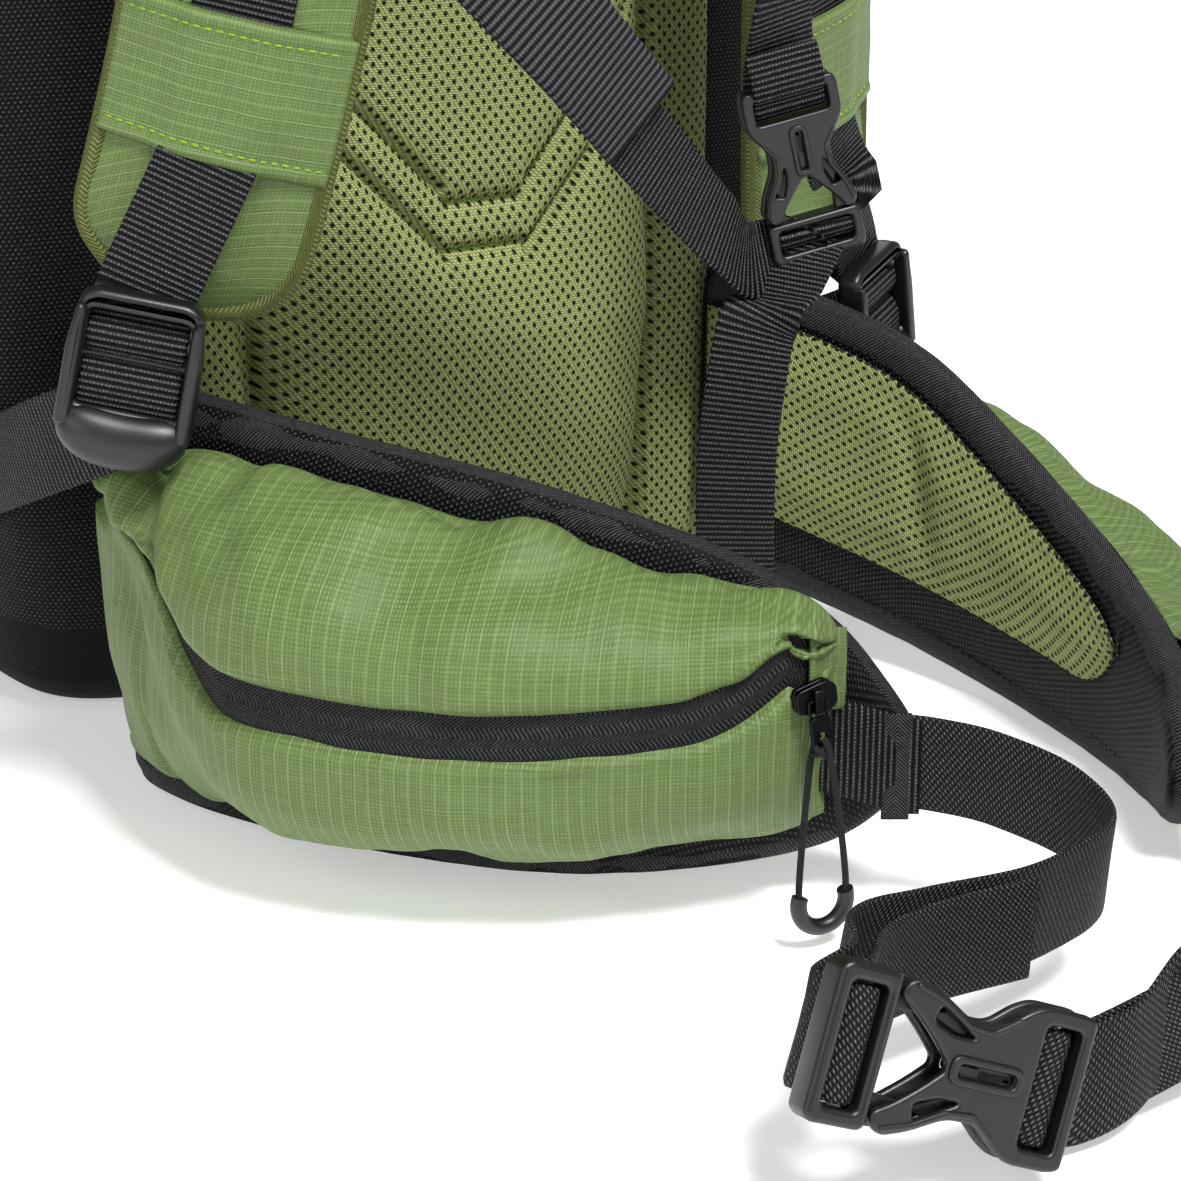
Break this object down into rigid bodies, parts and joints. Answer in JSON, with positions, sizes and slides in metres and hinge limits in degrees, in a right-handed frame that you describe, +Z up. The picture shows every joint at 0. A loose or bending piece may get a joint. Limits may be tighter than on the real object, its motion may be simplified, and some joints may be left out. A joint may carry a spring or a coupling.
{
  "type": "hiking backpack",
  "caption": "Hiking backpack with a padded harness, mesh back pad, hip belt with zipped pockets, chest strap, side-release buckles and a hinged top lid.",
  "frame": {"origin": "centre of the flat base, on the floor", "axes": "+Z up; the harness side, which rests on the back of the wearer, faces -Y; +X is to the right seen from the harness side"},
  "size_m": [0.3586, 0.6041, 0.651],
  "materials": {
    "bag_nylon": "black ballistic nylon",
    "ripstop": "green ripstop nylon",
    "spacer_mesh": "olive spacer mesh",
    "webbing": "black ribbed polypropylene webbing",
    "zip_tape": "black herringbone zip tape",
    "buckle_plastic": "satin black acetal",
    "slider_metal": "black lacquered zinc",
    "frame_plastic": "black polyethylene sheet",
    "stay_metal": "bare drawn bar",
    "spring_steel": "drawn wire",
    "cord": "braided cord"
  },
  "bodies": {
    "pack": {"back_pad": "spacer_mesh", "bag_shell": "bag_nylon", "base_panel": "bag_nylon", "chest_buckle_female": "buckle_plastic", "chest_sleeve": "webbing", "chest_strap_left": "webbing", "chest_strap_right": "webbing", "collar": "bag_nylon", "compression_buckles": "buckle_plastic", "compression_straps": "webbing", "cord_lock_body": "buckle_plastic", "cord_lock_spring": "spring_steel", "drawcord": "cord", "frame_sheet": "frame_plastic", "frame_stays": "stay_metal", "front_pocket": "ripstop", "front_zip": "zip_tape", "hip_anchors": "webbing", "hip_buckle_female": "buckle_plastic", "hip_fin_left": "bag_nylon", "hip_fin_right": "bag_nylon", "hip_pocket_left": "ripstop", "hip_pocket_right": "ripstop", "hip_webbing_left": "webbing", "hip_webbing_right": "webbing", "hip_zip_left": "zip_tape", "hip_zip_right": "zip_tape", "lid_buckle_female": "buckle_plastic", "lid_strap_lower": "webbing", "load_lifters": "webbing", "lower_webbings": "webbing", "shoulder_pad_left": "ripstop", "shoulder_pad_right": "ripstop", "shoulder_webbings": "webbing", "side_pocket_left": "bag_nylon", "side_pocket_right": "bag_nylon", "strap_tabs": "bag_nylon"},
    "lid_body": {"lid": "ripstop", "lid_zip": "zip_tape", "lid_strap_upper": "webbing", "lid_buckle_male": "buckle_plastic"},
    "lid_slider_body": {"lid_slider": "slider_metal"},
    "lid_pull_body": {"lid_pull": "slider_metal"},
    "front_slider_body": {"front_slider": "slider_metal"},
    "front_pull_body": {"front_pull": "slider_metal"},
    "button_body": {"cord_lock_button": "buckle_plastic"},
    "haul_body": {"haul_loop": "webbing"},
    "ladder_left_body": {"ladder_lock_left": "buckle_plastic"},
    "ladder_right_body": {"ladder_lock_right": "buckle_plastic"},
    "chest_male_body": {"chest_buckle_male": "buckle_plastic", "chest_tail": "webbing"},
    "hip_male_body": {"hip_buckle_male": "buckle_plastic", "hip_webbing_tail": "webbing"},
    "hip_slider_left_body": {"hip_slider_left": "slider_metal"},
    "hip_slider_right_body": {"hip_slider_right": "slider_metal"},
    "hip_pull_left_body": {"hip_pull_left": "slider_metal", "cord_loop": "cord", "open_ring": "buckle_plastic"},
    "hip_pull_right_body": {"hip_pull_right": "slider_metal"}
  },
  "joints": [
    {"name": "lid_hinge", "type": "hinge", "parent": "pack", "child": "lid_body", "pos_m": [0, -0.1, 0.579], "axis": [1, 0, 0], "range_deg": [0, 95]},
    {"name": "lid_zip_slide", "type": "slide", "parent": "lid_body", "child": "lid_slider_body", "axis": [-1, 0, 0], "range_m": [0, 0.104]},
    {"name": "lid_pull_swing", "type": "hinge", "parent": "lid_slider_body", "child": "lid_pull_body", "pos_m": [0.052, 0.12385, 0.609], "axis": [-1, 0, 0], "range_deg": [-95, 0]},
    {"name": "front_zip_slide", "type": "slide", "parent": "pack", "child": "front_slider_body", "axis": [-1, 0, 0], "range_m": [0, 0.132]},
    {"name": "front_pull_swing", "type": "hinge", "parent": "front_slider_body", "child": "front_pull_body", "pos_m": [0.066, 0.15195, 0.268], "axis": [-1, 0, 0], "range_deg": [-95, 0]},
    {"name": "cord_lock_press", "type": "slide", "parent": "pack", "child": "button_body", "axis": [0, 0, -1], "range_m": [0, 0.0026], "stiffness_N_per_m": 600, "deforming": ["cord_lock_spring"]},
    {"name": "haul_loop_swing", "type": "hinge", "parent": "pack", "child": "haul_body", "pos_m": [0, -0.1085, 0.535], "axis": [-1, 0, 0], "range_deg": [-18, 38]},
    {"name": "ladder_lock_tilt_left", "type": "hinge", "parent": "pack", "child": "ladder_left_body", "pos_m": [-0.12691, -0.19771, 0.14563], "axis": [-0.8565, 0.4725, 0.2077], "range_deg": [0, 40]},
    {"name": "ladder_lock_tilt_right", "type": "hinge", "parent": "pack", "child": "ladder_right_body", "pos_m": [0.12491, -0.14771, 0.11363], "axis": [-0.8565, -0.4725, -0.2077], "range_deg": [0, 40]},
    {"name": "chest_buckle_release", "type": "slide", "parent": "pack", "child": "chest_male_body", "axis": [0.2209, -0.0502, -0.974], "range_m": [0, 0.028]},
    {"name": "hip_buckle_release", "type": "slide", "parent": "pack", "child": "hip_male_body", "axis": [-0.9077, 0.1995, 0.3691], "range_m": [0, 0.034]},
    {"name": "hip_zip_slide_left", "type": "hinge", "parent": "pack", "child": "hip_slider_left_body", "pos_m": [-0.00384, -0.18384, 0.08289], "axis": [0.1378, 0.1319, -0.9816], "range_deg": [0, 34]},
    {"name": "hip_pull_swing_left", "type": "hinge", "parent": "hip_slider_left_body", "child": "hip_pull_left_body", "pos_m": [-0.013, -0.32636, 0.06321], "axis": [-0.9774, 0.1785, -0.1132], "range_deg": [0, 90]},
    {"name": "hip_zip_slide_right", "type": "hinge", "parent": "pack", "child": "hip_slider_right_body", "pos_m": [0.05551, -0.24593, 0.05986], "axis": [0.2044, -0.1765, 0.9628], "range_deg": [0, 36]},
    {"name": "hip_pull_swing_right", "type": "hinge", "parent": "hip_slider_right_body", "child": "hip_pull_right_body", "pos_m": [0.12994, -0.33186, 0.02967], "axis": [-0.6791, -0.734, 0.0096], "range_deg": [0, 90]}
  ]
}
